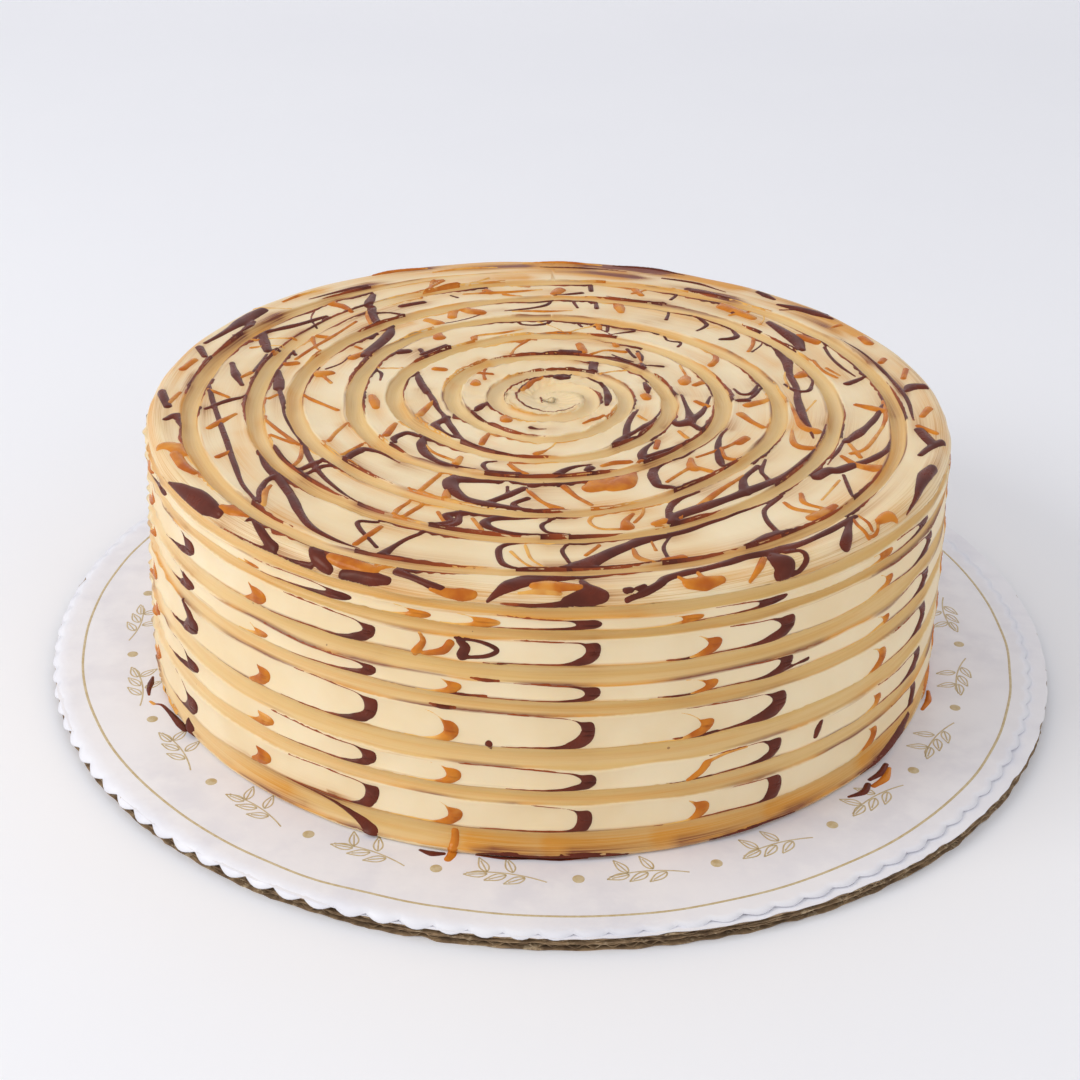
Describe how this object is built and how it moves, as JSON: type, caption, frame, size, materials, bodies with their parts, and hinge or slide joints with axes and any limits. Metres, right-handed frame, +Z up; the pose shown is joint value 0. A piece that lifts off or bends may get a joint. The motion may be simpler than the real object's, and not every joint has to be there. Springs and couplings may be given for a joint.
{
  "type": "salted caramel cake",
  "caption": "Tall round frosted cake with combed level grooves, a spiral groove on top and lines of chocolate and caramel, on a scalloped paper liner and a round cake card.",
  "frame": {"origin": "centre of the round card, on its underside", "axes": "+Z up, -Y towards the side that the picture shows"},
  "size_m": [0.354, 0.354, 0.0969],
  "materials": {
    "frosting": "smooth whipped cream frosting, satin",
    "chocolate": "set chocolate sauce, half gloss",
    "caramel": "glossy caramel sauce",
    "liner_paper": "white greaseproof paper with a gold print",
    "kraft_board": "corrugated kraft board with a white top"
  },
  "bodies": {
    "root": {"cake": "frosting", "cake_card": "kraft_board", "card_liner": "liner_paper"}
  },
  "joints": []
}
